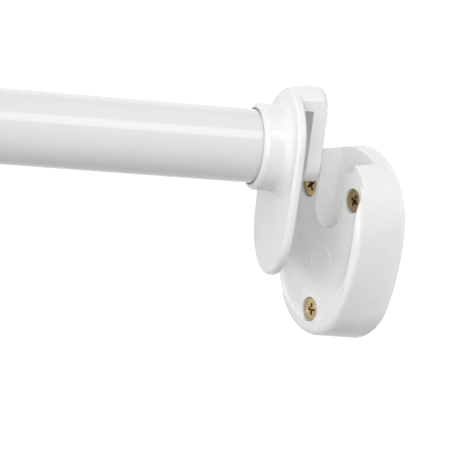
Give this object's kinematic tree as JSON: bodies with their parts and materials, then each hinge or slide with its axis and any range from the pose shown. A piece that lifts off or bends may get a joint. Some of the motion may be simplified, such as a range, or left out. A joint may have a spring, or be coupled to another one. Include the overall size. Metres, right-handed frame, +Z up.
{
  "type": "curtain rod with brackets",
  "caption": "Telescopic curtain rod with oval end flanges that hook down into open-topped oval wall brackets, one bracket shown apart from its flange.",
  "frame": {"origin": "middle of the left bracket's wall face", "axes": "+X along the rod away from the left wall, +Z up, room side at -Y"},
  "size_m": [0.7507, 0.0541, 0.0887],
  "materials": {
    "bracket_plastic": "white gloss moulding",
    "flange_plastic": "white gloss moulding",
    "tube_paint": "white gloss stove enamel on steel tube",
    "bearing_plastic": "off-white satin bearing plastic",
    "screw_zinc": "yellow passivated zinc plate"
  },
  "bodies": {
    "left_bracket": {"left_wall_bracket": "bracket_plastic", "left_screw_upper_front": "screw_zinc", "left_screw_upper_back": "screw_zinc", "left_screw_lower": "screw_zinc"},
    "inner_rod": {"inner_tube": "tube_paint", "inner_tube_glide": "bearing_plastic", "reducer_sleeve": "bearing_plastic", "left_end_flange": "flange_plastic"},
    "outer_rod": {"outer_tube": "tube_paint", "tube_mouth_bush": "bearing_plastic", "right_end_flange": "flange_plastic"},
    "right_bracket": {"right_wall_bracket": "bracket_plastic", "right_screw_upper_front": "screw_zinc", "right_screw_upper_back": "screw_zinc", "right_screw_lower": "screw_zinc"}
  },
  "joints": [
    {"name": "rod_lift", "type": "slide", "parent": "left_bracket", "child": "inner_rod", "axis": [0, 0, 1], "range_m": [0, 0.028]},
    {"name": "rod_extension", "type": "slide", "parent": "inner_rod", "child": "outer_rod", "axis": [1, 0, 0], "range_m": [-0.12, 0.24]},
    {"name": "right_bracket_turn", "type": "hinge", "parent": "outer_rod", "child": "right_bracket", "pos_m": [0.7169, -0.00105, -0.01582], "axis": [0, 0, 1], "range_deg": [-18.96, 0]}
  ]
}
